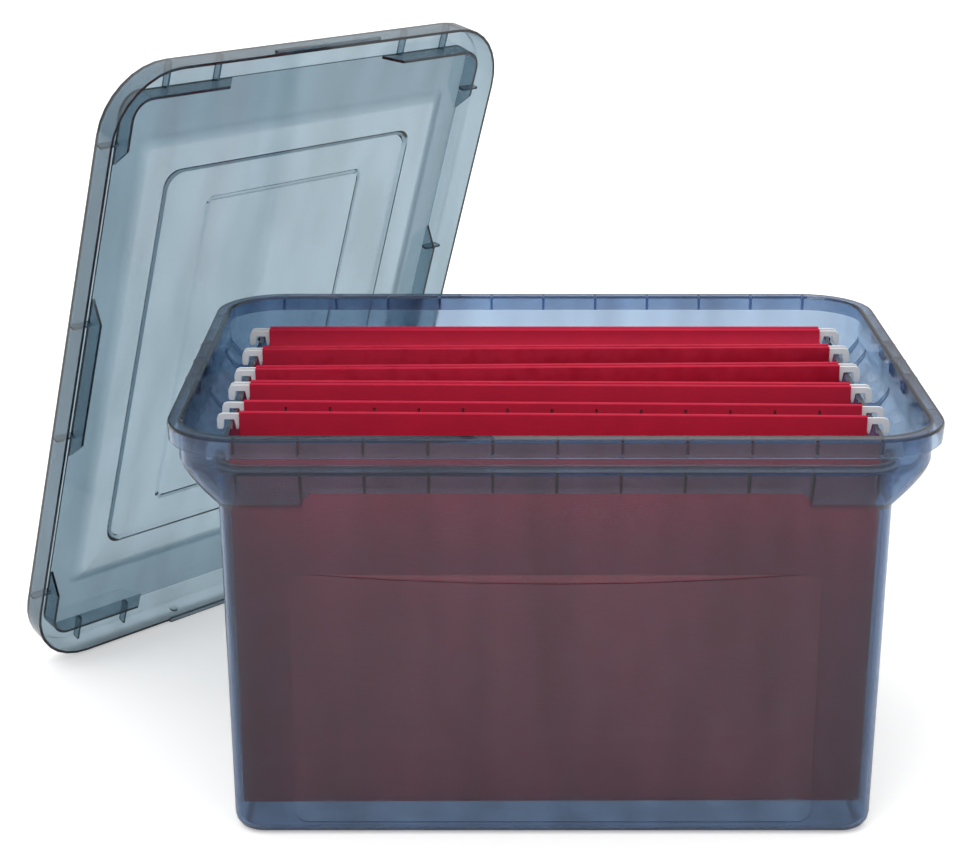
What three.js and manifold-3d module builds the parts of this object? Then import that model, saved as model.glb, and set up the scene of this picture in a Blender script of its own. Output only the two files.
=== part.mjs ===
import * as THREE from 'three';
import { mergeVertices } from 'three/addons/utils/BufferGeometryUtils.js';
import Module from 'manifold-3d';

// Plastic file tote with hanging folders and its lid leaning on a rear corner.
// Millimetres, +Z up. X runs along the long side, and -Y is the front.
// The origin is the centre of the underside.

// Tote: driving sizes
const toteLength = 444;
const toteDepth = 335;
const toteHeight = 254;
const toteWall = 2.4;
const toteFloor = 2.5;
const rimCorner = 45;
const rimSlope = 6.5;
const rimDrop = 11;
const rimSkin = 2.2;
const rimEdge = 1.5;
const endInset = 28.5;
const sideInset = 17.5;
const bodyDraft = 3;
const bodyCorner = 18;
const baseRound = 9;
const shoulderDrop = 48.5;
const shoulderRise = 26;
const shoulderSweep = 1.4;
const railDrop = 20.6;
const ledgeDrop = 21.6;
const ledgeThickness = 2.2;
const windowDrop = 35;
const windowHalf = 138;
const windowSlant = 6;

// Ribs and grips of the tote
const ribPitch = 36;
const ribThickness = 1.6;
const gripPitch = 38;
const gripRadius = 6;
const gripProud = 0.8;
const webSlot = 2.5;
const gussetPitch = 90;
const gussetEnd = 121;

// Shallow panel in the two long walls
const panelWidth = 306;
const panelBottom = 9;
const panelHeight = 158;
const panelDepth = 0.7;
const panelCorner = 8;
const crescentWidth = 290;
const crescentSag = 6;
const crescentDepth = 1.4;

// Hanging folders
const cardThickness = 0.7;
const rodThickness = 1.4;
const rodHeight = 8;
const seatGap = 0.3;
const folderSideGap = 0.6;
const folderFloorGap = 5.5;
const hookBar = 4;
const hookDrop = 10;
const hookReach = 8.5;
const hookCurl = 3.2;
const slitCount = 13;
const slitPitch = 27;
const slitLength = 1.6;
const slitHeight = 2.8;

// Each folder: place as a share of the tote's depth, distance between its rods, turn in degrees
const folders = [
  { place: 0.3895, spread: 6.4, turn: 0 },
  { place: 0.2478, spread: 6, turn: 0.8 },
  { place: 0.1119, spread: 6, turn: 1.3 },
  { place: -0.009, spread: 6.4, turn: -0.8 },
  { place: -0.1687, spread: 23, turn: -1.4 },
  { place: -0.3493, spread: 6.4, turn: 0.3 },
];

// Lid
const lidOverhang = 3;
const lidDepth = 18;
const lidWall = 2;
const lidPanel = 2.2;
const lidCornerGrow = 3;
const lidDraft = 1.5;
const lidEdge = 2;
const ringInset = 16.5;
const ringRise = 1.2;
const ringCorner = 15;
const plugWall = 2;
const plugTop = 3.5;
const frameInset = 33.5;
const frameRise = 3.6;
const frameSlope = 8;
const fieldInset = 62.5;
const fieldDrop = 2.6;
const fieldCorner = 12;
const padInset = 102;
const padLengthInset = 106.5;
const padRise = 1.2;
const stepSlope = 1.5;
const lidRibHeight = 5;
const liftLipHalf = 46;
const liftLipProud = 2;
const liftLipThickness = 2.2;
const snapSpacing = 38;
const snapRadius = 3.5;
const snapProud = 0.8;
const snapDepth = 8;

// Pose of the lid: turn about Z, lean, and shift along its short side
const lidTurn = 46.7;
const lidLean = 17.6;
const lidShift = -7.9;

const wasm = await Module();
wasm.setup();

const CORNER_STEPS = 8;

// Points of a rounded rectangle, counter-clockwise
function outline(halfX, halfY, radius) {
  const points = [];
  const corners = [[1, 1, 0], [-1, 1, 90], [-1, -1, 180], [1, -1, 270]];
  for (const [sx, sy, start] of corners) {
    for (let k = 0; k <= CORNER_STEPS; k += 1) {
      const angle = THREE.MathUtils.degToRad(start + (90 * k) / CORNER_STEPS);
      const x = sx * (halfX - radius) + radius * Math.cos(angle);
      const y = sy * (halfY - radius) + radius * Math.sin(angle);
      points.push(new THREE.Vector2(x, y));
    }
  }
  return points;
}

// Closed surface through rounded rectangles, each [halfX, halfY, radius, z], from below upwards
function loft(sections) {
  const positions = [];
  const index = [];
  const rings = sections.map(([halfX, halfY, radius]) => outline(halfX, halfY, radius));
  rings.forEach((ring, i) => {
    for (const p of ring) {
      positions.push(p.x, p.y, sections[i][3]);
    }
  });
  const count = rings[0].length;
  for (let i = 0; i + 1 < rings.length; i += 1) {
    for (let k = 0; k < count; k += 1) {
      const a = i * count + k;
      const b = i * count + ((k + 1) % count);
      index.push(a, b, b + count, a, b + count, a + count);
    }
  }
  const top = (rings.length - 1) * count;
  for (const [a, b, c] of THREE.ShapeUtils.triangulateShape(rings[0], [])) {
    index.push(a, c, b);
  }
  for (const [a, b, c] of THREE.ShapeUtils.triangulateShape(rings[rings.length - 1], [])) {
    index.push(top + a, top + b, top + c);
  }
  const geometry = new THREE.BufferGeometry();
  geometry.setAttribute('position', new THREE.Float32BufferAttribute(positions, 3));
  geometry.setIndex(index);
  return solid(geometry);
}

// Solid from a closed geometry
function solid(geometry) {
  const bare = geometry.clone();
  bare.deleteAttribute('normal');
  bare.deleteAttribute('uv');
  const merged = mergeVertices(bare, 1e-4);
  return new wasm.Manifold(new wasm.Mesh({
    numProp: 3,
    vertProperties: new Float32Array(merged.attributes.position.array),
    triVerts: new Uint32Array(merged.index.array),
  }));
}

// Box between two corners
function block(x0, x1, y0, y1, z0, z1) {
  const geometry = new THREE.BoxGeometry(x1 - x0, y1 - y0, z1 - z0);
  geometry.translate((x0 + x1) / 2, (y0 + y1) / 2, (z0 + z1) / 2);
  return solid(geometry);
}

// Polygon in the XZ plane, extruded along Y between y0 and y1
function slabAlongY(points, y0, y1) {
  const shape = new THREE.Shape(points.map(([x, z]) => new THREE.Vector2(x, z)));
  const geometry = new THREE.ExtrudeGeometry(shape, { depth: y1 - y0, bevelEnabled: false });
  const basis = new THREE.Matrix4().makeBasis(
    new THREE.Vector3(1, 0, 0),
    new THREE.Vector3(0, 0, 1),
    new THREE.Vector3(0, -1, 0),
  );
  geometry.applyMatrix4(basis);
  geometry.translate(0, y1, 0);
  return solid(geometry);
}

// Polygon in the YZ plane, extruded along X between x0 and x1
function slabAlongX(points, x0, x1) {
  const shape = new THREE.Shape(points.map(([y, z]) => new THREE.Vector2(y, z)));
  const geometry = new THREE.ExtrudeGeometry(shape, { depth: x1 - x0, bevelEnabled: false });
  const basis = new THREE.Matrix4().makeBasis(
    new THREE.Vector3(0, 1, 0),
    new THREE.Vector3(0, 0, 1),
    new THREE.Vector3(1, 0, 0),
  );
  geometry.applyMatrix4(basis);
  geometry.translate(x0, 0, 0);
  return solid(geometry);
}

function joined(solids) {
  return solids.reduce((sum, next) => sum.add(next));
}

// Named mesh from a solid
function mesh(name, body, material) {
  const raw = body.getMesh();
  const geometry = new THREE.BufferGeometry();
  geometry.setAttribute('position', new THREE.Float32BufferAttribute(raw.vertProperties, 3));
  geometry.setIndex(Array.from(raw.triVerts));
  geometry.computeVertexNormals();
  const made = new THREE.Mesh(geometry, material);
  made.name = name;
  return made;
}

// Positions that follow from the driving sizes
const rimHalfX = toteLength / 2;
const rimHalfY = toteDepth / 2;
const bodyTopX = rimHalfX - endInset;
const bodyTopY = rimHalfY - sideInset;
const bodyBaseX = bodyTopX - bodyDraft;
const bodyBaseY = bodyTopY - bodyDraft;
const wallX = rimHalfX - rimSlope;
const wallY = rimHalfY - rimSlope;
const wallCorner = rimCorner - rimSlope;
const railTop = toteHeight - railDrop;
const ledgeTop = toteHeight - ledgeDrop;
const shoulderBottom = toteHeight - shoulderDrop;

// Half sizes of the body at a height, inset by a given amount
function bodyAt(z, inset) {
  const t = z / railTop;
  return [
    bodyBaseX + bodyDraft * t - inset,
    bodyBaseY + bodyDraft * t - inset,
    bodyCorner - inset,
    z,
  ];
}

// Body outside, or the hollow inside it when inset is the wall
function bodySolid(inset, bottom, top) {
  const sections = [];
  const round = baseRound - inset;
  for (let k = 0; k <= 4; k += 1) {
    const angle = (Math.PI / 2) * (k / 4);
    const [x, y, r] = bodyAt(bottom, inset);
    const pull = round * (1 - Math.sin(angle));
    sections.push([x - pull, y - pull, Math.max(r - pull, 2), bottom + round * (1 - Math.cos(angle))]);
  }
  sections.push(bodyAt(top, inset));
  return loft(sections);
}

// Outer curve of the shoulder that joins the body to the rim wall
function shoulderSections(skin, overTop) {
  const sections = [];
  const steps = 6;
  for (let k = 0; k <= steps; k += 1) {
    const s = k / steps;
    const t = 1 - (1 - s) ** shoulderSweep;
    const run = endInset * shoulderSweep * (1 - s) ** (shoulderSweep - 1);
    const slope = Math.atan2(shoulderRise, run);
    const [x, y, r] = bodyAt(shoulderBottom, 0.4);
    sections.push([
      x + (wallX - x) * t - skin * Math.sin(slope),
      y + (wallY - y) * t - skin * Math.sin(slope),
      r + (wallCorner - r) * t - skin * Math.sin(slope),
      shoulderBottom + shoulderRise * s + skin * Math.cos(slope),
    ]);
  }
  sections.push([wallX - skin, wallY - skin, wallCorner - skin, toteHeight - rimEdge]);
  if (overTop) {
    const out = wallX - skin + rimEdge * 0.7;
    const outY = wallY - skin + rimEdge * 0.7;
    sections.push([out, outY, wallCorner - skin + rimEdge * 0.7, toteHeight + 0.01]);
    sections.push([out, outY, wallCorner - skin + rimEdge * 0.7, toteHeight + 5]);
  } else {
    sections.push([wallX, wallY, wallCorner, toteHeight - rimSkin / 2]);
  }
  return sections;
}

function makeTote() {
  const body = bodySolid(0, 0, railTop);
  const bodyHollow = bodySolid(toteWall, toteFloor, railTop + 1);
  const shoulder = loft(shoulderSections(0, false));
  const lipOuter = loft([
    [rimHalfX - 0.6, rimHalfY - 0.6, rimCorner - 0.6, toteHeight - rimDrop],
    [rimHalfX, rimHalfY, rimCorner, toteHeight - rimEdge],
    [rimHalfX - 0.45, rimHalfY - 0.45, rimCorner - 0.45, toteHeight - 0.45],
    [rimHalfX - rimEdge, rimHalfY - rimEdge, rimCorner - rimEdge, toteHeight],
  ]);
  const lipHollow = loft([
    [rimHalfX - 2.4, rimHalfY - 2.4, rimCorner - 2.4, toteHeight - rimDrop - 1],
    [rimHalfX - 2, rimHalfY - 2, rimCorner - 2, toteHeight - rimSkin],
  ]);
  const troughHollow = loft(shoulderSections(toteWall, true)).subtract(body);

  // Ribs between the rim wall and the hanging lip, on all four sides
  const lipRibs = [];
  const longRibs = Math.floor((rimHalfX - wallCorner) / ribPitch);
  const shortRibs = Math.floor((rimHalfY - rimCorner) / ribPitch);
  const ribBottom = toteHeight - rimDrop + 1;
  const ribTop = toteHeight - rimSkin / 2;
  const half = ribThickness / 2;
  for (let k = -longRibs; k <= longRibs; k += 1) {
    const x = k * ribPitch;
    lipRibs.push(block(x - half, x + half, -rimHalfY + 1, -wallY + 1, ribBottom, ribTop));
    lipRibs.push(block(x - half, x + half, wallY - 1, rimHalfY - 1, ribBottom, ribTop));
  }
  for (let k = -shortRibs; k <= shortRibs; k += 1) {
    const y = k * ribPitch;
    lipRibs.push(block(-rimHalfX + 1, -wallX + 1, y - half, y + half, ribBottom, ribTop));
    lipRibs.push(block(wallX - 1, rimHalfX - 1, y - half, y + half, ribBottom, ribTop));
  }

  // Grip lugs on the short sides
  const lugs = [];
  for (const side of [-1, 1]) {
    for (let k = -1; k <= 1; k += 1) {
      const lug = new THREE.CylinderGeometry(gripRadius, gripRadius, rimDrop - 2, 20);
      lug.rotateX(Math.PI / 2);
      const x = side * (rimHalfX + gripProud - gripRadius);
      lug.translate(x, k * gripPitch, toteHeight - rimEdge - (rimDrop - 2) / 2);
      lugs.push(solid(lug));
    }
  }

  // Ledge along the two long walls
  const ledgeOuter = loft([
    [wallX - 20, wallY - 0.6, wallCorner - 12, ledgeTop - ledgeThickness],
    [wallX - 20, wallY - 0.6, wallCorner - 12, ledgeTop],
  ]);
  const between = bodyTopY - bodyCorner - 4;
  const ledge = ledgeOuter.subtract(block(-rimHalfX, rimHalfX, -between, between, 0, toteHeight));

  // Webs in the hollow under the ledge, the last ones with a slot at the body, and in the end troughs
  const webs = [];
  for (let k = -longRibs; k <= longRibs; k += 1) {
    const x = k * ribPitch;
    const inWindow = Math.abs(x) < windowHalf;
    const low = inWindow ? toteHeight - windowDrop : shoulderBottom;
    const high = ledgeTop - ledgeThickness / 2;
    const foot = Math.abs(k) === longRibs ? bodyTopY + webSlot : bodyTopY - 1;
    webs.push(block(x - half, x + half, -wallY + 0.6, -foot, low, high));
    webs.push(block(x - half, x + half, foot, wallY - 0.6, low, high));
  }
  const webLow = railTop - hookDrop + 1;
  for (const y of [-gussetEnd, -gussetPitch, 0, gussetPitch, gussetEnd]) {
    for (const side of [-1, 1]) {
      const inner = bodyTopX - 1;
      const foot = bodyTopX + hookReach + 2;
      const points = [
        [side * inner, shoulderBottom - 1],
        [side * (wallX - 0.6), shoulderBottom - 1],
        [side * (wallX - 0.6), toteHeight - 14],
        [side * (wallX - 3.6), toteHeight - 22],
        [side * (foot + 2.5), webLow + 1],
        [side * foot, webLow],
        [side * inner, webLow],
      ];
      webs.push(slabAlongY(side > 0 ? points : points.reverse(), y - half, y + half));
    }
  }
  const webSolid = joined(webs).intersect(loft(shoulderSections(toteWall / 2, false)));

  // Openings under the ledge in the middle of both long sides
  const windowTop = toteHeight - windowDrop;
  const windowShape = [
    [-windowHalf - windowSlant, shoulderBottom - 1],
    [windowHalf + windowSlant, shoulderBottom - 1],
    [windowHalf + windowSlant, windowTop - windowSlant],
    [windowHalf, windowTop],
    [-windowHalf, windowTop],
    [-windowHalf - windowSlant, windowTop - windowSlant],
  ];
  const windows = slabAlongY(windowShape, -rimHalfY, -bodyBaseY)
    .add(slabAlongY(windowShape, bodyBaseY, rimHalfY))
    .subtract(body);

  // Shallow panels with a crescent at the top edge, parallel to the drafted walls
  const slant = Math.atan2(bodyDraft, railTop);
  const corner = new THREE.Shape();
  const pw = panelWidth / 2;
  const pt = panelBottom + panelHeight;
  corner.moveTo(-pw + panelCorner, panelBottom);
  corner.lineTo(pw - panelCorner, panelBottom);
  corner.absarc(pw - panelCorner, panelBottom + panelCorner, panelCorner, -Math.PI / 2, 0, false);
  corner.lineTo(pw, pt - panelCorner);
  corner.absarc(pw - panelCorner, pt - panelCorner, panelCorner, 0, Math.PI / 2, false);
  corner.lineTo(-pw + panelCorner, pt);
  corner.absarc(-pw + panelCorner, pt - panelCorner, panelCorner, Math.PI / 2, Math.PI, false);
  corner.lineTo(-pw, panelBottom + panelCorner);
  corner.absarc(-pw + panelCorner, panelBottom + panelCorner, panelCorner, Math.PI, 1.5 * Math.PI, false);
  const crescent = new THREE.Shape();
  crescent.moveTo(crescentWidth / 2, pt);
  crescent.lineTo(-crescentWidth / 2, pt);
  crescent.quadraticCurveTo(0, pt - 2 * crescentSag, crescentWidth / 2, pt);
  const recesses = [];
  for (const side of [-1, 1]) {
    for (const [shape, depth] of [[corner, panelDepth], [crescent, crescentDepth]]) {
      const geometry = new THREE.ExtrudeGeometry(shape, {
        depth: 6,
        bevelEnabled: false,
        curveSegments: 6,
      });
      geometry.rotateX(Math.PI / 2);
      geometry.rotateX(slant);
      geometry.translate(0, -bodyBaseY + depth, 0);
      if (side > 0) {
        geometry.rotateZ(Math.PI);
      }
      recesses.push(solid(geometry));
    }
  }

  const rim = lipOuter.subtract(lipHollow).add(shoulder);
  return joined([body, rim, ...lugs, ...lipRibs])
    .subtract(troughHollow)
    .subtract(windows)
    .add(ledge)
    .add(webSolid)
    .subtract(bodyHollow)
    .subtract(joined(recesses));
}

// Hanging folder: folded card with a hem along each top edge, and a rod with two hooks in each hem
const folderHalf = bodyBaseX - toteWall - folderSideGap;
const folderBottom = toteFloor + folderFloorGap;
const rodTop = railTop + seatGap + hookBar;
const hemHalf = rodThickness / 2 + seatGap + cardThickness;
const hemTop = rodTop + seatGap + cardThickness;
const hemBottom = rodTop - rodHeight - seatGap - cardThickness;

// Card of one folder, in a frame whose Y is zero midway between the rods
function makeCard(spread) {
  const t = cardThickness / 2;
  const top = hemBottom + cardThickness;
  const reach = spread / 2 + hemHalf - t;
  const path = new THREE.CatmullRomCurve3([
    new THREE.Vector3(0, -reach, top),
    new THREE.Vector3(0, -reach * 0.82, folderBottom + (top - folderBottom) * 0.66),
    new THREE.Vector3(0, -reach * 0.42 - 0.4, folderBottom + (top - folderBottom) * 0.28),
    new THREE.Vector3(0, -1.5, folderBottom + 5),
    new THREE.Vector3(0, 0, folderBottom + t),
    new THREE.Vector3(0, 1.5, folderBottom + 5),
    new THREE.Vector3(0, reach * 0.42 + 0.4, folderBottom + (top - folderBottom) * 0.28),
    new THREE.Vector3(0, reach * 0.82, folderBottom + (top - folderBottom) * 0.66),
    new THREE.Vector3(0, reach, top),
  ], false, 'centripetal');
  const steps = 32;
  const outer = [];
  const inner = [];
  for (let k = 0; k <= steps; k += 1) {
    const p = path.getPoint(k / steps);
    const d = path.getTangent(k / steps);
    outer.push([p.y + t * d.z, p.z - t * d.y]);
    inner.unshift([p.y - t * d.z, p.z + t * d.y]);
  }
  const sheet = slabAlongX([...outer, ...inner], -folderHalf, folderHalf);
  const parts = [sheet];
  const cuts = [];
  for (const side of [-1, 1]) {
    const y = side * (spread / 2);
    const bevel = cardThickness * 0.7;
    const loop = [
      [y - hemHalf, hemBottom],
      [y + hemHalf, hemBottom],
      [y + hemHalf, hemTop - bevel],
      [y + hemHalf - bevel, hemTop],
      [y - hemHalf + bevel, hemTop],
      [y - hemHalf, hemTop - bevel],
    ];
    parts.push(slabAlongX(loop, -folderHalf, folderHalf));
    const hy = hemHalf - cardThickness;
    cuts.push(block(
      -folderHalf - 1,
      folderHalf + 1,
      y - hy,
      y + hy,
      hemBottom + cardThickness,
      hemTop - cardThickness,
    ));
  }
  const slitZ = hemTop - 5;
  const face = spread / 2 - hemHalf;
  for (let k = 0; k < slitCount; k += 1) {
    const x = (k - (slitCount - 1) / 2) * slitPitch;
    cuts.push(block(
      x - slitLength / 2,
      x + slitLength / 2,
      face - 0.3,
      face + cardThickness + 0.1,
      slitZ - slitHeight / 2,
      slitZ + slitHeight / 2,
    ));
  }
  return joined(parts).subtract(joined(cuts));
}

// Flat rod with a hook at each end; the notch of the hook sits over the rail
function makeRod() {
  const notchIn = bodyTopX - toteWall - 0.5;
  const notchOut = bodyTopX + 3;
  const tip = bodyTopX + hookReach - 1;
  const top = rodTop;
  const bar = rodTop - hookBar;
  const low = rodTop - hookDrop;
  const rodLow = rodTop - rodHeight;
  const right = [
    [folderHalf + seatGap, rodLow],
    [folderHalf + seatGap + 0.3, low],
    [notchIn - 1.2, low],
    [notchIn, bar],
    [notchOut, bar],
    [notchOut + 0.4, low + 1],
    [notchOut + 1.2, low],
    [tip - 0.8, low],
    [tip, low + 1],
    [tip, top - hookCurl],
    [tip - hookCurl * 0.3, top - hookCurl * 0.3],
    [tip - hookCurl, top],
  ];
  const left = right.map(([x, z]) => [-x, z]).reverse();
  return slabAlongY([...right, ...left], -rodThickness / 2, rodThickness / 2);
}

// Lid in its own frame: X across, Y along, the free edge at z = 0 and the outer face below
function makeLid() {
  const halfX = rimHalfY + lidOverhang;
  const halfY = rimHalfX + lidOverhang;
  const corner = rimCorner + lidCornerGrow;
  const at = (inset, z) => [halfX - inset, halfY - inset, Math.max(corner - inset, 3), z];
  const level = (inset, radius, z) => [halfX - inset, halfY - inset - (inset > 20 ? 20 - 1 : 3.5), radius, z];
  const floorZ = -lidDepth + lidPanel;
  const ringZ = floorZ + ringRise;
  const frameZ = floorZ + frameRise;
  const fieldZ = frameZ - fieldDrop;
  const padZ = fieldZ + padRise;
  const outer = loft([
    at(lidDraft + lidEdge, -lidDepth),
    at(lidDraft + lidEdge * 0.3, -lidDepth + lidEdge * 0.3),
    at(lidDraft, -lidDepth + lidEdge),
    at(0, 0),
  ]);
  const hollow = loft([
    at(lidDraft + lidWall + 1, floorZ),
    at(lidDraft + lidWall, floorZ + 1),
    at(lidWall, 0.01),
    at(lidWall, 1),
  ]);
  const pad = (grow, z) => [halfX - padInset + grow, halfY - padLengthInset + grow, 5, z];

  // Inside levels
  const ringIn = loft([level(ringInset, ringCorner, floorZ - 1), level(ringInset, ringCorner, ringZ)]);
  const frameIn = loft([
    level(frameInset, 4, floorZ - 1),
    level(frameInset, 4, ringZ),
    level(frameInset + frameSlope, 4, frameZ),
  ]);
  const fieldIn = loft([
    level(fieldInset + stepSlope, fieldCorner, fieldZ),
    level(fieldInset, fieldCorner, frameZ + 0.01),
    level(fieldInset, fieldCorner, frameZ + 1),
  ]);
  const padIn = loft([pad(1.5 + 0.2, fieldZ - 0.5), pad(1.5, fieldZ), pad(0, padZ)]);
  const inside = hollow.subtract(ringIn).subtract(frameIn).add(fieldIn).subtract(padIn);

  // Outside levels keep the panel thickness
  const frameOut = loft([
    level(frameInset + 2, 4, -lidDepth - 1),
    level(frameInset + 2, 4, -lidDepth),
    level(frameInset + frameSlope + 2, 4, frameZ - lidPanel),
  ]);
  const fieldOut = loft([
    level(fieldInset + stepSlope - 2, fieldCorner, fieldZ - lidPanel),
    level(fieldInset - 2, fieldCorner, frameZ - lidPanel + 0.01),
  ]);
  const padOut = loft([
    pad(-0.5, fieldZ - lidPanel - 1),
    pad(-0.5, fieldZ - lidPanel),
    pad(-2, padZ - lidPanel),
  ]);
  const outside = frameOut.subtract(fieldOut).add(padOut);

  // Plug walls: one at each corner and one in the middle of each long side
  const plugHalfX = halfX - ringInset;
  const plugHalfY = halfY - ringInset - 3.5;
  const ring = loft([
    [plugHalfX, plugHalfY, ringCorner, ringZ - 1],
    [plugHalfX, plugHalfY, ringCorner, -plugTop],
  ]).subtract(loft([
    [plugHalfX - plugWall, plugHalfY - plugWall, ringCorner - plugWall, ringZ - 2],
    [plugHalfX - plugWall, plugHalfY - plugWall, ringCorner - plugWall, -plugTop + 1],
  ]));
  const bandLow = ringZ - 2;
  const bandHigh = -plugTop + 1;
  const middle = slabAlongX([
    [-halfY * 0.28, bandLow],
    [halfY * 0.28, bandLow],
    [halfY * 0.2, bandHigh],
    [-halfY * 0.2, bandHigh],
  ], -halfX, halfX);
  const far = slabAlongX([
    [halfY * 0.68, bandLow],
    [halfY, bandLow],
    [halfY, bandHigh],
    [halfY * 0.76, bandHigh],
  ], -halfX, halfX);
  const near = slabAlongX([
    [-halfY, bandLow],
    [-halfY * 0.68, bandLow],
    [-halfY * 0.76, bandHigh],
    [-halfY, bandHigh],
  ], -halfX, halfX);
  const gap = slabAlongY([
    [-halfX * 0.38, bandLow],
    [halfX * 0.38, bandLow],
    [halfX * 0.46, bandHigh],
    [-halfX * 0.46, bandHigh],
  ], -halfY, halfY);
  const plugs = ring.intersect(joined([middle, far, near])).subtract(gap);

  // Low ribs from the skirt to the plug walls
  const ribs = [];
  const half = ribThickness / 2;
  const ribHigh = floorZ + lidRibHeight;
  for (const sx of [-1, 1]) {
    for (const share of [0.48, 0.72]) {
      const x = sx * share * halfX;
      ribs.push(block(x - half, x + half, plugHalfY - 1, halfY - lidDraft - 1, floorZ - 1, ribHigh));
      ribs.push(block(x - half, x + half, -halfY + lidDraft + 1, -plugHalfY + 1, floorZ - 1, ribHigh));
    }
    for (const share of [-0.76, -0.19, 0.19, 0.76]) {
      const y = share * halfY;
      const x0 = sx > 0 ? plugHalfX - 1 : -halfX + lidDraft + 1;
      const x1 = sx > 0 ? halfX - lidDraft - 1 : -plugHalfX + 1;
      ribs.push(block(x0, x1, y - half, y + half, floorZ - 1, ribHigh));
    }
  }

  // Lift lips and snap bumps on the short sides
  const extras = [];
  for (const side of [-1, 1]) {
    const y0 = side > 0 ? halfY - 1.2 : -halfY - liftLipProud;
    const y1 = side > 0 ? halfY + liftLipProud : -halfY + 1.2;
    extras.push(block(-liftLipHalf, liftLipHalf, y0, y1, -liftLipThickness, 0));
    for (const sx of [-1, 1]) {
      const bump = new THREE.CylinderGeometry(snapRadius - 0.6, snapRadius, snapProud + 1, 16);
      if (side > 0) {
        bump.rotateZ(Math.PI);
      }
      const wallAt = halfY - lidWall - lidDraft * (snapDepth / lidDepth);
      bump.translate(sx * snapSpacing, side * (wallAt + 0.5 - snapProud / 2), -snapDepth);
      extras.push(solid(bump));
    }
  }
  return outer.subtract(inside).subtract(outside).add(joined([plugs, ...ribs, ...extras]));
}

const toteMaterial = new THREE.MeshStandardMaterial({ color: 0x4c6b88, roughness: 0.38, metalness: 0 });
const lidMaterial = new THREE.MeshStandardMaterial({ color: 0x8ba4b4, roughness: 0.45, metalness: 0 });

const assembly = new THREE.Group();
assembly.add(mesh('tote', makeTote(), toteMaterial));

folders.forEach((folder, i) => {
  const number = i + 1;
  const group = new THREE.Group();
  group.position.set(0, folder.place * toteDepth, 0);
  group.rotation.z = THREE.MathUtils.degToRad(folder.turn);
  const card = new THREE.MeshStandardMaterial({ color: 0x9c1030, roughness: 0.8, metalness: 0 });
  group.add(mesh(`folder_${number}_card`, makeCard(folder.spread), card));
  for (const [place, side] of [['front', -1], ['rear', 1]]) {
    const white = new THREE.MeshStandardMaterial({ color: 0xd8dde2, roughness: 0.4, metalness: 0 });
    const rod = mesh(`folder_${number}_${place}_rod`, makeRod(), white);
    rod.position.y = side * (folder.spread / 2);
    group.add(rod);
  }
  assembly.add(group);
});

// The lid stands on the lip of one short side and leans on the rear left corner of the rim
const turn = THREE.MathUtils.degToRad(lidTurn);
const lean = THREE.MathUtils.degToRad(lidLean);
const across = new THREE.Vector3(Math.cos(turn), Math.sin(turn), 0);
const outward = new THREE.Vector3(Math.sin(turn), -Math.cos(turn), 0);
const facing = outward.clone().multiplyScalar(Math.cos(lean)).add(new THREE.Vector3(0, 0, -Math.sin(lean)));
const cornerCentre = new THREE.Vector3(
  -(rimHalfX - rimCorner),
  rimHalfY - rimCorner,
  toteHeight - rimEdge,
);
const reach = (rimCorner - rimEdge) * Math.cos(lean) + rimEdge;
const nearest = cornerCentre.dot(facing) - reach;
const padFace = lidDepth - lidPanel - frameRise + fieldDrop - padRise;
const lidZ = (rimHalfX + lidOverhang + liftLipProud) * Math.cos(lean);
const away = (nearest + padFace - seatGap + lidZ * Math.sin(lean)) / Math.cos(lean);
const lidPose = new THREE.Group();
lidPose.position.copy(across.multiplyScalar(lidShift).add(outward.multiplyScalar(away)));
lidPose.position.z = lidZ;
lidPose.rotation.z = turn;
const lidTilt = new THREE.Group();
lidTilt.rotation.x = Math.PI / 2 + lean;
lidTilt.add(mesh('lid', makeLid(), lidMaterial));
lidPose.add(lidTilt);
assembly.add(lidPose);

export default assembly;
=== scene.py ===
import math

import bpy
from bpy.props import FloatProperty, FloatVectorProperty, PointerProperty
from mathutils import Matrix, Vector

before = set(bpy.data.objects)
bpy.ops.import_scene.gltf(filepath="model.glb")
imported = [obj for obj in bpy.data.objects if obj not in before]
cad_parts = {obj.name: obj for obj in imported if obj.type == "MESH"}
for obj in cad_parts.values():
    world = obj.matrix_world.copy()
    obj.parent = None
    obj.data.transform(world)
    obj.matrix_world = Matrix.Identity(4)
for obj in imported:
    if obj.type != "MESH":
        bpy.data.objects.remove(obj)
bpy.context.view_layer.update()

bl_info = {
    "name": "File Tote Look",
    "version": (1, 0, 0),
    "blender": (4, 5, 0),
    "location": "3D View > Sidebar > File Tote",
    "description": "Gives a plastic file tote, its lid and its hanging folders their finish and stage",
    "category": "Object",
}

# Camera: frame, focal length, optical axis and horizon in pixels, place and clip range in metres
PHOTO_WIDTH = 970
PHOTO_HEIGHT = 854
FOCAL_PIXELS = 2200.0
AXIS_COLUMN = 487.0
HORIZON_ROW = -265.0
SENSOR_MM = 36.0
EYE_M = (-0.0392, -1.3238, 0.6253)
CLIP_NEAR_M = 0.05
CLIP_FAR_M = 60.0

FOLDER_NUMBERS = range(1, 7)
WHITE = (1.0, 1.0, 1.0, 1.0)

# Grid on which the nodes are laid out
COLUMN_WIDTH = 220
ROW_HEIGHT = 180

# Edges: how close corners are joined, how flat neighbours become one face, which edges are broken
WELD_M = 0.00002
FLAT_DEGREES = 0.4
SHARP_DEGREES = 32.0
FACE_WEIGHT = 60
MOULDED_STEPS = 3
CARD_EDGE_M = 0.00018
CARD_STEPS = 2
ROD_EDGE_M = 0.0003
ROD_STEPS = 3

# Ranges that a value is spread from or to
UNIT = (0.0, 1.0)
FALLING = (1.0, 0.0)
NOISE_MIDDLE = (0.3, 0.7)
NOISE_PEAKS = (0.55, 0.8)

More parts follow.
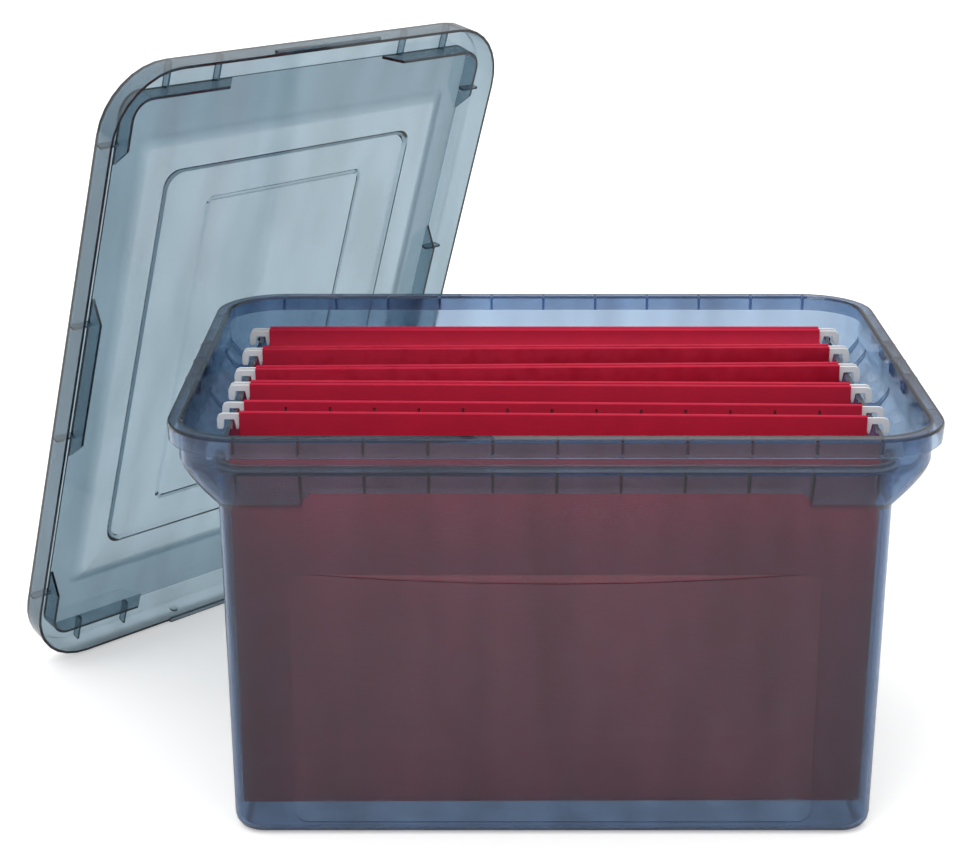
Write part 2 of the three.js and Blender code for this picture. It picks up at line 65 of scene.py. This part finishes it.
# Noises: scale, detail and roughness; a stretch is the scale along X, Y and Z
WAVE_NOISE = (14.0, 1.0, 0.5)
FLOW_NOISE = (1.0, 1.0, 0.5)
FLOW_STRETCH = (38.0, 38.0, 5.0)
SMUDGE_NOISE = (31.0, 2.0, 0.62)
GAP_NOISE = (90.0, 1.0, 0.6)
FILM_NOISE = (60.0, 2.0, 0.7)
FIBRE_NOISE = (1.0, 4.0, 0.65)
FIBRE_STRETCH = (180.0, 700.0, 700.0)
MOTTLE_NOISE = (55.0, 4.0, 0.6)
WAVER_NOISE = (300.0, 2.0, 0.5)
DRAWN_NOISE = (1.0, 3.0, 0.6)
DRAWN_STRETCH = (40.0, 2400.0, 2400.0)
TOOTH_NOISE = (900.0, 3.0, 0.6)

# Effects: handling marks, gaps in the edge mask (wear on the rod coat, painted shade on plastic edges,
# painted highlight on card folds), specks of dust and the slope that holds dust
SMUDGE_RANGE = (0.42, 0.72)
SMUDGE_ROUGHNESS = (-0.05, 0.09)
GAP_STRENGTH = (0.5, 1.2)
SPECK_SCALE = 420.0
SPECK_RANGE = (0.0, 0.16)
UPWARD_RANGE = (0.2, 1.0)

# Plastic: a relief is a height in metres and a strength; shades are factors on the colour
PLASTIC_IOR = 1.49
PLASTIC_SPECULAR = 0.12
PLASTIC_RELIEF = (0.0006, 0.06)
# Convex edges of the plastic get painted shade: a share of the way to a darker copy of its colour
PLASTIC_EDGE_CONTRAST = 7.0
PLASTIC_PAINTED_SHADE_SHARE = 0.3
PLASTIC_PAINTED_EDGE_SHADE = 0.8
TOTE_WAVE = 0.5
TOTE_SHADES = (0.9, 1.12)
LID_WAVE = 0.8
LID_SHADES = (0.92, 1.08)

# Card
CARD_SPECULAR = 0.1
CARD_ROUGHNESS = (0.62, 0.78)
CARD_RELIEF = (0.00025, 0.5)
CARD_SHADES = (0.86, 1.12)
CARD_EDGE_CONTRAST = 5.0
# Brighter red painted along the card folds and edges as a painted highlight
CARD_FOLD_HIGHLIGHT_RED = (0.72, 0.04, 0.1)
CARD_DUST = 0.04
CARD_DUST_PINK = (0.6, 0.3, 0.32)
FIBRE_SHADE = 1.4
FIBRE_LIFT = 0.004
FIBRE_SHARE = (0.0, 0.2)
# Share of the edge colour: painted highlight on the card folds, wear on the rod coat
EDGE_WEAR_AND_HIGHLIGHT_SHARE = 0.4

# Rods
ROD_ROUGHNESS = (0.3, 0.42)
ROD_RELIEF = (0.0001, 0.3)
ROD_EDGE_CONTRAST = 6.0
STEEL_SHADE = 0.8
COAT_SHADE = 0.95
COAT_FADE_M = 0.0004
COAT_WAVER_M = 0.0006
COAT_WORN = (0.9, 0.92, 0.94)

# Floor
FLOOR_ROUGHNESS = 0.75
FLOOR_SPECULAR = 0.2
FLOOR_RELIEF = (0.0001, 0.2)
FLOOR_SHADE = 0.99

# Light: dome strength from the horizon to overhead, lift through plastic, width and travel of the key
SKY_RISE = (0.5, 1.5)
LIFT_THROUGH_PLASTIC = 0.6
KEY_WIDTH_DEGREES = 28.0
KEY_TRAVEL = (0.55, 0.75, -1.5)


# Sizes and colours that a user would change

class ToteLook(bpy.types.PropertyGroup):
    shade: FloatVectorProperty(
        name="Plastic colour", description="Colour of the tote's plastic",
        default=(0.86, 0.89, 0.92), size=3, min=0.0, max=1.0, subtype="COLOR")
    depth_tint: FloatVectorProperty(
        name="Depth tint", description="Colour that thick pieces of the tote go towards",
        default=(0.1, 0.34, 0.58), size=3, min=0.0, max=1.0, subtype="COLOR")
    depth: FloatProperty(
        name="Depth", description="Light lost in each metre of the tote's plastic",
        default=420.0, min=0.0, max=1000.0)
    clearness: FloatProperty(
        name="Clearness", description="Share of the light that the wall lets through",
        default=0.997, min=0.0, max=1.0, subtype="FACTOR")
    gloss: FloatProperty(
        name="Roughness", description="Roughness of the moulded surface",
        default=0.1, min=0.0, max=1.0, subtype="FACTOR")
    edge: FloatProperty(
        name="Edge rounding", description="Radius broken onto the moulded edges",
        default=0.0004, min=0.0, max=0.002, unit="LENGTH")


class LidLook(bpy.types.PropertyGroup):
    shade: FloatVectorProperty(
        name="Plastic colour", description="Colour of the lid's plastic",
        default=(0.79, 0.85, 0.88), size=3, min=0.0, max=1.0, subtype="COLOR")
    depth_tint: FloatVectorProperty(
        name="Depth tint", description="Colour that thick pieces of the lid go towards",
        default=(0.16, 0.335, 0.425), size=3, min=0.0, max=1.0, subtype="COLOR")
    depth: FloatProperty(
        name="Depth", description="Light lost in each metre of the lid's plastic",
        default=450.0, min=0.0, max=1000.0)
    clearness: FloatProperty(
        name="Clearness", description="Share of the light that the lid lets through",
        default=0.97, min=0.0, max=1.0, subtype="FACTOR")
    gloss: FloatProperty(
        name="Roughness", description="Roughness of the lid's surface",
        default=0.1, min=0.0, max=1.0, subtype="FACTOR")
    edge: FloatProperty(
        name="Edge rounding", description="Radius broken onto the moulded edges",
        default=0.0004, min=0.0, max=0.002, unit="LENGTH")


class FolderLook(bpy.types.PropertyGroup):
    dye: FloatVectorProperty(
        name="Card colour", description="Dye of the folder card",
        default=(0.41, 0.004, 0.022), size=3, min=0.0, max=1.0, subtype="COLOR")
    coat: FloatVectorProperty(
        name="Hook coat colour", description="Colour of the coated hook ends",
        default=(0.93, 0.94, 0.96), size=3, min=0.0, max=1.0, subtype="COLOR")
    steel: FloatVectorProperty(
        name="Rod colour", description="Colour of the bare steel of the rods",
        default=(0.42, 0.42, 0.43), size=3, min=0.0, max=1.0, subtype="COLOR")
    coat_start: FloatProperty(
        name="Coat start", description="Distance from the middle of a rod to its coat",
        default=0.182, min=0.1, max=0.2, unit="LENGTH")


class StageLook(bpy.types.PropertyGroup):
    paper: FloatVectorProperty(
        name="Floor colour", description="Colour of the floor sheet",
        default=(0.93, 0.93, 0.93), size=3, min=0.0, max=1.0, subtype="COLOR")
    sky: FloatProperty(
        name="Dome light", description="Strength of the light that comes from all round",
        default=0.9, min=0.0, max=2.0)
    key: FloatProperty(
        name="Key light", description="Strength of the soft light from above the front left",
        default=0.55, min=0.0, max=5.0)
    lift: FloatProperty(
        name="Floor lift", description="Light added to the floor sheet where the camera sees it",
        default=0.34, min=0.0, max=1.0)
    floor_half: FloatProperty(
        name="Floor half size", description="Half the side of the floor sheet",
        default=9.0, min=1.0, max=20.0, unit="LENGTH")


# Node helpers

def place(tree, kind, column, row):
    node = tree.nodes.new(kind)
    node.location = (column * COLUMN_WIDTH, -row * ROW_HEIGHT)
    return node


def effect_group(name, inputs, outputs):
    """Empty shader node group with typed inputs (name, type, default) and outputs (name, type)."""
    tree = bpy.data.node_groups.new(name, "ShaderNodeTree")
    for title, kind, value in inputs:
        socket = tree.interface.new_socket(name=title, in_out="INPUT", socket_type=kind)
        socket.default_value = value
    for title, kind in outputs:
        tree.interface.new_socket(name=title, in_out="OUTPUT", socket_type=kind)
    start = place(tree, "NodeGroupInput", -4, 0)
    end = place(tree, "NodeGroupOutput", 6, 0)
    return tree, start, end


def math_node(tree, operation, first, second, column, row, clamp=False):
    node = place(tree, "ShaderNodeMath", column, row)
    node.operation = operation
    node.use_clamp = clamp
    for socket, value in zip(node.inputs, (first, second)):
        if isinstance(value, (int, float)):
            socket.default_value = value
        elif value is not None:
            tree.links.new(value, socket)
    return node.outputs[0]


def spread(tree, value, source, target, column, row):
    node = place(tree, "ShaderNodeMapRange", column, row)
    node.inputs["From Min"].default_value = source[0]
    node.inputs["From Max"].default_value = source[1]
    node.inputs["To Min"].default_value = target[0]
    node.inputs["To Max"].default_value = target[1]
    tree.links.new(value, node.inputs["Value"])
    return node.outputs["Result"]


def mix_colours(tree, share, first, second, column, row):
    """Mix of two colours, each an RGB tuple or a socket, by the socket share."""
    node = place(tree, "ShaderNodeMix", column, row)
    node.data_type = "RGBA"
    tree.links.new(share, node.inputs[0])
    for socket, value in ((node.inputs[6], first), (node.inputs[7], second)):
        if isinstance(value, tuple):
            socket.default_value = (*value, 1.0)
        else:
            tree.links.new(value, socket)
    return node.outputs[2]


def scaled(colour, factor):
    return tuple(part * factor for part in colour)


def capped(colour):
    return tuple(min(1.0, part) for part in colour)


def object_space(tree, row):
    return place(tree, "ShaderNodeTexCoord", -4, row).outputs["Object"]


def stretched(tree, where, scale, row):
    node = place(tree, "ShaderNodeMapping", -3, row)
    node.inputs["Scale"].default_value = scale
    tree.links.new(where, node.inputs["Vector"])
    return node.outputs["Vector"]


def along_axis(tree, vector, axis, row):
    node = place(tree, "ShaderNodeSeparateXYZ", -3, row)
    tree.links.new(vector, node.inputs[0])
    return node.outputs[axis]


def noise(tree, where, kind, column, row):
    scale, detail, roughness = kind
    node = place(tree, "ShaderNodeTexNoise", column, row)
    node.inputs["Scale"].default_value = scale
    node.inputs["Detail"].default_value = detail
    node.inputs["Roughness"].default_value = roughness
    tree.links.new(where, node.inputs["Vector"])
    return node.outputs["Fac"]


# Effects

def make_moulded_skin():
    """Slow waviness, faint flow streaks and handling marks of a moulded part."""
    tree, start, end = effect_group(
        "Moulded skin",
        [("Waviness", "NodeSocketFloat", 0.5),
         ("Roughness", "NodeSocketFloat", 0.3)],
        [("Height", "NodeSocketFloat"),
         ("Roughness", "NodeSocketFloat"),
         ("Cloud", "NodeSocketFloat")])
    where = object_space(tree, 2)
    slow = noise(tree, where, WAVE_NOISE, -2, 1)
    flow = noise(tree, stretched(tree, where, FLOW_STRETCH, 3), FLOW_NOISE, -2, 2)
    smudge = noise(tree, where, SMUDGE_NOISE, -2, 4)
    wave = math_node(tree, "MULTIPLY", slow, start.outputs["Waviness"], 0, 1)
    tree.links.new(wave, end.inputs["Height"])
    handled = spread(tree, smudge, SMUDGE_RANGE, SMUDGE_ROUGHNESS, 1, 3)
    rough = math_node(tree, "ADD", start.outputs["Roughness"], handled, 2, 3, clamp=True)
    tree.links.new(rough, end.inputs["Roughness"])
    tree.links.new(spread(tree, flow, NOISE_MIDDLE, UNIT, 2, 4), end.inputs["Cloud"])
    return tree


def make_edge_wear_and_painted_light():
    """Mask of convex edges, with gaps such as handling leaves; it places wear on the rod coat, painted
    shade on the plastic edges and a painted highlight on the card folds and edges.
    """
    tree, start, end = effect_group(
        "Edge wear and painted light",
        [("Contrast", "NodeSocketFloat", 6.0)],
        [("Mask", "NodeSocketFloat")])
    shape = place(tree, "ShaderNodeNewGeometry", -4, 2)
    bite = noise(tree, object_space(tree, 4), GAP_NOISE, -2, 3)
    bump = math_node(tree, "SUBTRACT", shape.outputs["Pointiness"], 0.5, -2, 1)
    sharp = math_node(tree, "MULTIPLY", bump, start.outputs["Contrast"], -1, 1)
    gaps = spread(tree, bite, NOISE_MIDDLE, GAP_STRENGTH, -1, 3)
    broken = math_node(tree, "MULTIPLY", sharp, gaps, 0, 1, clamp=True)
    tree.links.new(broken, end.inputs["Mask"])
    return tree


def make_dust():
    """Sparse pale specks and a film that gathers on faces that look up."""
    tree, start, end = effect_group(
        "Light dust",
        [("Amount", "NodeSocketFloat", 0.3)],
        [("Mask", "NodeSocketFloat")])
    where = object_space(tree, 3)
    shape = place(tree, "ShaderNodeNewGeometry", -4, 1)
    facing = along_axis(tree, shape.outputs["Normal"], "Z", 1)
    up = spread(tree, facing, UPWARD_RANGE, UNIT, -2, 1)
    film = noise(tree, where, FILM_NOISE, -2, 3)
    speck = place(tree, "ShaderNodeTexVoronoi", -2, 5)
    speck.inputs["Scale"].default_value = SPECK_SCALE
    tree.links.new(where, speck.inputs["Vector"])
    dots = spread(tree, speck.outputs["Distance"], SPECK_RANGE, FALLING, -1, 5)
    patch = spread(tree, film, NOISE_PEAKS, UNIT, -1, 3)
    specks = math_node(tree, "MULTIPLY", dots, patch, 0, 4)
    settled = math_node(tree, "MULTIPLY", up, patch, 0, 2)
    both = math_node(tree, "ADD", specks, settled, 1, 3)
    amount = math_node(tree, "MULTIPLY", both, start.outputs["Amount"], 2, 3, clamp=True)
    tree.links.new(amount, end.inputs["Mask"])
    return tree


MADE_EFFECTS = {}


def put_effect(tree, maker, column, row, **values):
    """Node of the group that maker builds on its first use, with its own input values."""
    if maker not in MADE_EFFECTS:
        MADE_EFFECTS[maker] = maker()
    node = place(tree, "ShaderNodeGroup", column, row)
    node.node_tree = MADE_EFFECTS[maker]
    for title, value in values.items():
        node.inputs[title].default_value = value
    return node


def new_material(name):
    material = bpy.data.materials.new(name)
    material.use_nodes = True
    tree = material.node_tree
    tree.nodes.clear()
    surface = place(tree, "ShaderNodeBsdfPrincipled", 5, 0)
    output = place(tree, "ShaderNodeOutputMaterial", 7, 0)
    tree.links.new(surface.outputs["BSDF"], output.inputs["Surface"])
    return material, tree, surface


def add_relief(tree, height, surface, relief):
    distance, strength = relief
    bump = place(tree, "ShaderNodeBump", 4, 4)
    bump.inputs["Distance"].default_value = distance
    bump.inputs["Strength"].default_value = strength
    tree.links.new(height, bump.inputs["Height"])
    tree.links.new(bump.outputs["Normal"], surface.inputs["Normal"])


def moulded_plastic(name, look, wave, shades):
    """See-through moulded plastic: cloudy colour, waviness, handling marks and edges darkened by
    painted shade.
    """
    material, tree, surface = new_material(name)
    skin = put_effect(tree, make_moulded_skin, 0, 3, Waviness=wave, Roughness=look.gloss)
    edges = put_effect(tree, make_edge_wear_and_painted_light, 0, 5, Contrast=PLASTIC_EDGE_CONTRAST)
    deep = scaled(look.shade, shades[0])
    pale = scaled(look.shade, shades[1])
    body = mix_colours(tree, skin.outputs["Cloud"], deep, pale, 1, 0)
    # Painted shade: convex edges darkened towards a darker copy of the plastic colour
    painted_edge_shade = math_node(tree, "MULTIPLY", edges.outputs["Mask"], PLASTIC_PAINTED_SHADE_SHARE, 1, 5)
    painted_shade_body = mix_colours(tree, painted_edge_shade, body, scaled(look.shade, PLASTIC_PAINTED_EDGE_SHADE), 2, 0)
    tree.links.new(painted_shade_body, surface.inputs["Base Color"])
    tree.links.new(skin.outputs["Roughness"], surface.inputs["Roughness"])
    surface.inputs["Transmission Weight"].default_value = look.clearness
    surface.inputs["IOR"].default_value = PLASTIC_IOR
    surface.inputs["Specular IOR Level"].default_value = PLASTIC_SPECULAR
    thick = place(tree, "ShaderNodeVolumeAbsorption", 5, 3)
    thick.inputs["Color"].default_value = (*look.depth_tint, 1.0)
    thick.inputs["Density"].default_value = look.depth
    tree.links.new(thick.outputs["Volume"], tree.nodes["Material Output"].inputs["Volume"])
    add_relief(tree, skin.outputs["Height"], surface, PLASTIC_RELIEF)
    return material


def dyed_card(look):
    """Dyed card: fibres, mottled dye, a painted highlight of paler red along the folds and edges, and
    a little dust.
    """
    material, tree, surface = new_material("Dyed card")
    where = object_space(tree, 1)
    fibre = noise(tree, stretched(tree, where, FIBRE_STRETCH, 1), FIBRE_NOISE, -2, 1)
    mottle = noise(tree, where, MOTTLE_NOISE, -2, 2)
    edges = put_effect(tree, make_edge_wear_and_painted_light, -2, 4, Contrast=CARD_EDGE_CONTRAST)
    dust = put_effect(tree, make_dust, -2, 5, Amount=CARD_DUST)
    deep = scaled(look.dye, CARD_SHADES[0])
    pale = capped(scaled(look.dye, CARD_SHADES[1]))
    strand = capped(part + FIBRE_LIFT for part in scaled(look.dye, FIBRE_SHADE))
    cloud = spread(tree, mottle, NOISE_MIDDLE, UNIT, -1, 2)
    base = mix_colours(tree, cloud, deep, pale, 0, 0)
    raised = spread(tree, fibre, NOISE_PEAKS, FIBRE_SHARE, 0, 2)
    fibred = mix_colours(tree, raised, base, strand, 1, 0)
    # Painted highlight: folds and edges lightened towards a brighter red
    folds = math_node(tree, "MULTIPLY", edges.outputs["Mask"], EDGE_WEAR_AND_HIGHLIGHT_SHARE, 1, 4)
    edge_toned = mix_colours(tree, folds, fibred, CARD_FOLD_HIGHLIGHT_RED, 2, 0)
    dusty = mix_colours(tree, dust.outputs["Mask"], edge_toned, CARD_DUST_PINK, 3, 0)
    tree.links.new(dusty, surface.inputs["Base Color"])
    rough = spread(tree, fibre, NOISE_MIDDLE, CARD_ROUGHNESS, 2, 3)
    tree.links.new(rough, surface.inputs["Roughness"])
    surface.inputs["Specular IOR Level"].default_value = CARD_SPECULAR
    add_relief(tree, math_node(tree, "ADD", fibre, mottle, 2, 5), surface, CARD_RELIEF)
    return material


def coated_rod(look):
    """Bright steel rod whose ends are dipped in pale plastic."""
    material, tree, surface = new_material("Coated rod")
    where = object_space(tree, 1)
    along = math_node(tree, "ABSOLUTE", along_axis(tree, where, "X", 1), None, -2, 1)
    uneven = noise(tree, where, WAVER_NOISE, -2, 2)
    waver = spread(tree, uneven, NOISE_MIDDLE, (-COAT_WAVER_M, COAT_WAVER_M), -1, 2)
    reach = math_node(tree, "ADD", along, waver, 0, 1)
    fade = (look.coat_start, look.coat_start + COAT_FADE_M)
    coated = spread(tree, reach, fade, UNIT, 1, 1)
    drawn = noise(tree, stretched(tree, where, DRAWN_STRETCH, 3), DRAWN_NOISE, -2, 3)
    edges = put_effect(tree, make_edge_wear_and_painted_light, -1, 5, Contrast=ROD_EDGE_CONTRAST)
    steel = mix_colours(tree, drawn, scaled(look.steel, STEEL_SHADE), tuple(look.steel), 1, 3)
    coat = mix_colours(tree, uneven, scaled(look.coat, COAT_SHADE), tuple(look.coat), 1, 4)
    worn = math_node(tree, "MULTIPLY", edges.outputs["Mask"], EDGE_WEAR_AND_HIGHLIGHT_SHARE, 1, 6)
    edge_toned = mix_colours(tree, worn, coat, COAT_WORN, 2, 4)
    tree.links.new(mix_colours(tree, coated, steel, edge_toned, 3, 0), surface.inputs["Base Color"])
    tree.links.new(spread(tree, coated, UNIT, FALLING, 3, 2), surface.inputs["Metallic"])
    rough = spread(tree, drawn, NOISE_MIDDLE, ROD_ROUGHNESS, 2, 3)
    tree.links.new(rough, surface.inputs["Roughness"])
    add_relief(tree, math_node(tree, "ADD", drawn, uneven, 3, 5), surface, ROD_RELIEF)
    return material


# Shaping helpers

def soften(piece, radius, steps):
    """Rounds the sharp edges of a piece by modifiers and shades it smooth."""
    for polygon in piece.data.polygons:
        polygon.use_smooth = True
    weld = piece.modifiers.new("Join corners", "WELD")
    weld.merge_threshold = WELD_M
    flat = piece.modifiers.new("Flat faces", "DECIMATE")
    flat.decimate_type = "DISSOLVE"
    flat.angle_limit = math.radians(FLAT_DEGREES)
    bevel = piece.modifiers.new("Broken edges", "BEVEL")
    bevel.width = radius
    bevel.segments = steps
    bevel.limit_method = "ANGLE"
    bevel.angle_limit = math.radians(SHARP_DEGREES)
    bevel.harden_normals = True
    bevel.use_clamp_overlap = True
    even = piece.modifiers.new("Even shading", "WEIGHTED_NORMAL")
    even.keep_sharp = True
    even.weight = FACE_WEIGHT


def dress(name, material, radius, steps):
    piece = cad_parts[name]
    piece.data.materials.clear()
    piece.data.materials.append(material)
    soften(piece, radius, steps)


# Operators

class FILETOTE_OT_tote(bpy.types.Operator):
    """Dress the tote in see-through moulded plastic"""
    bl_idname = "filetote.tote"
    bl_label = "Dress Tote"

    def execute(self, context):
        look = context.scene.tote_look
        material = moulded_plastic("Tote plastic", look, TOTE_WAVE, TOTE_SHADES)
        dress("tote", material, look.edge, MOULDED_STEPS)
        return {"FINISHED"}


class FILETOTE_OT_lid(bpy.types.Operator):
    """Dress the leaning lid in frosted moulded plastic"""
    bl_idname = "filetote.lid"
    bl_label = "Dress Lid"

    def execute(self, context):
        look = context.scene.lid_look
        material = moulded_plastic("Lid plastic", look, LID_WAVE, LID_SHADES)
        dress("lid", material, look.edge, MOULDED_STEPS)
        return {"FINISHED"}


class FILETOTE_OT_folders(bpy.types.Operator):
    """Dress the cards of the hanging folders in dyed card"""
    bl_idname = "filetote.folders"
    bl_label = "Dress Folder Cards"

    def execute(self, context):
        material = dyed_card(context.scene.folder_look)
        for number in FOLDER_NUMBERS:
            dress(f"folder_{number}_card", material, CARD_EDGE_M, CARD_STEPS)
        return {"FINISHED"}


class FILETOTE_OT_rods(bpy.types.Operator):
    """Dress the rods of the folders in steel with coated hook ends"""
    bl_idname = "filetote.rods"
    bl_label = "Dress Folder Rods"

    def execute(self, context):
        material = coated_rod(context.scene.folder_look)
        for number in FOLDER_NUMBERS:
            for side in ("front", "rear"):
                dress(f"folder_{number}_{side}_rod", material, ROD_EDGE_M, ROD_STEPS)
        return {"FINISHED"}


class FILETOTE_OT_stage(bpy.types.Operator):
    """Lay the floor, light it softly and set the camera"""
    bl_idname = "filetote.stage"
    bl_label = "Set Stage"

    def execute(self, context):
        look = context.scene.stage_look
        self.lay_floor(context, look)
        self.light(context, look)
        self.set_camera(context)
        context.scene.view_settings.view_transform = "Standard"
        return {"FINISHED"}

    def lay_floor(self, context, look):
        half = look.floor_half
        corners = [(-half, -half, 0), (half, -half, 0), (half, half, 0), (-half, half, 0)]
        sheet = bpy.data.meshes.new("Floor sheet")
        sheet.from_pydata(corners, [], [(0, 1, 2, 3)])
        floor = bpy.data.objects.new("Floor", sheet)
        context.scene.collection.objects.link(floor)
        material, tree, surface = new_material("Floor paper")
        tooth = noise(tree, object_space(tree, 1), TOOTH_NOISE, -2, 1)
        tone = mix_colours(tree, tooth, scaled(look.paper, FLOOR_SHADE), tuple(look.paper), 0, 0)
        tree.links.new(tone, surface.inputs["Base Color"])
        surface.inputs["Roughness"].default_value = FLOOR_ROUGHNESS
        surface.inputs["Specular IOR Level"].default_value = FLOOR_SPECULAR
        path = place(tree, "ShaderNodeLightPath", 1, 3)
        through = math_node(tree, "MULTIPLY", path.outputs["Is Transmission Ray"],
                            LIFT_THROUGH_PLASTIC, 1, 4)
        seen = math_node(tree, "MAXIMUM", path.outputs["Is Camera Ray"], through, 2, 3)
        glow = math_node(tree, "MULTIPLY", seen, look.lift, 3, 3)
        surface.inputs["Emission Color"].default_value = WHITE
        tree.links.new(glow, surface.inputs["Emission Strength"])
        add_relief(tree, tooth, surface, FLOOR_RELIEF)
        sheet.materials.append(material)

    def light(self, context, look):
        world = bpy.data.worlds.new("Studio")
        context.scene.world = world
        world.use_nodes = True
        world.cycles.sampling_method = "NONE"
        tree = world.node_tree
        tree.nodes.clear()
        where = place(tree, "ShaderNodeTexCoord", -4, 0).outputs["Generated"]
        height = along_axis(tree, where, "Z", 0)
        rise = spread(tree, height, UNIT, SKY_RISE, -2, 0)
        lit = math_node(tree, "MULTIPLY", rise, look.sky, -1, 0)
        path = place(tree, "ShaderNodeLightPath", -2, 3)
        seen = math_node(tree, "MAXIMUM", path.outputs["Is Camera Ray"],
                         path.outputs["Is Transmission Ray"], -1, 3)
        keep = math_node(tree, "SUBTRACT", 1.0, seen, 0, 3)
        unseen = math_node(tree, "MULTIPLY", lit, keep, 1, 1)
        strength = math_node(tree, "ADD", unseen, seen, 2, 1)
        sky = place(tree, "ShaderNodeBackground", 3, 0)
        sky.inputs["Color"].default_value = WHITE
        tree.links.new(strength, sky.inputs["Strength"])
        end = place(tree, "ShaderNodeOutputWorld", 4, 0)
        tree.links.new(sky.outputs[0], end.inputs["Surface"])
        lamp = bpy.data.lights.new("Key", "SUN")
        lamp.energy = look.key
        lamp.angle = math.radians(KEY_WIDTH_DEGREES)
        key = bpy.data.objects.new("Key", lamp)
        key.rotation_euler = Vector(KEY_TRAVEL).to_track_quat("-Z", "Y").to_euler()
        context.scene.collection.objects.link(key)

    def set_camera(self, context):
        data = bpy.data.cameras.new("Photo view")
        data.sensor_width = SENSOR_MM
        data.sensor_fit = "HORIZONTAL"
        data.lens = FOCAL_PIXELS * SENSOR_MM / PHOTO_WIDTH
        data.shift_x = (PHOTO_WIDTH / 2 - AXIS_COLUMN) / PHOTO_WIDTH
        data.clip_start = CLIP_NEAR_M
        data.clip_end = CLIP_FAR_M
        eye = bpy.data.objects.new("Photo view", data)
        eye.location = EYE_M
        dip = math.atan((PHOTO_HEIGHT / 2 - HORIZON_ROW) / FOCAL_PIXELS)
        eye.rotation_euler = (math.pi / 2 - dip, 0.0, 0.0)
        context.scene.collection.objects.link(eye)
        context.scene.camera = eye


class FILETOTE_PT_panel(bpy.types.Panel):
    """Sizes, colours and steps of the file tote"""
    bl_idname = "FILETOTE_PT_panel"
    bl_label = "File Tote"
    bl_space_type = "VIEW_3D"
    bl_region_type = "UI"
    bl_category = "File Tote"

    def draw(self, context):
        layout = self.layout
        scene = context.scene
        plastic = ("shade", "clearness", "depth_tint", "depth", "gloss", "edge")
        folders = ("dye", "coat", "steel", "coat_start")
        stage = ("paper", "lift", "sky", "key", "floor_half")
        groups = (
            ("Tote", scene.tote_look, plastic, ("filetote.tote",)),
            ("Lid", scene.lid_look, plastic, ("filetote.lid",)),
            ("Folders", scene.folder_look, folders, ("filetote.folders", "filetote.rods")),
            ("Stage", scene.stage_look, stage, ("filetote.stage",)),
        )
        for title, look, names, steps in groups:
            box = layout.box()
            box.label(text=title)
            for name in names:
                box.prop(look, name)
            for step in steps:
                box.operator(step)


LOOKS = (
    ("tote_look", ToteLook),
    ("lid_look", LidLook),
    ("folder_look", FolderLook),
    ("stage_look", StageLook),
)
CLASSES = (
    ToteLook,
    LidLook,
    FolderLook,
    StageLook,
    FILETOTE_OT_tote,
    FILETOTE_OT_lid,
    FILETOTE_OT_folders,
    FILETOTE_OT_rods,
    FILETOTE_OT_stage,
    FILETOTE_PT_panel,
)


def register():
    for made in CLASSES:
        bpy.utils.register_class(made)
    for name, look in LOOKS:
        setattr(bpy.types.Scene, name, PointerProperty(type=look))


def unregister():
    for name, _look in LOOKS:
        delattr(bpy.types.Scene, name)
    for made in reversed(CLASSES):
        bpy.utils.unregister_class(made)


def main():
    register()
    bpy.ops.filetote.tote()
    bpy.ops.filetote.lid()
    bpy.ops.filetote.folders()
    bpy.ops.filetote.rods()
    bpy.ops.filetote.stage()


if __name__ == "__main__":
    main()
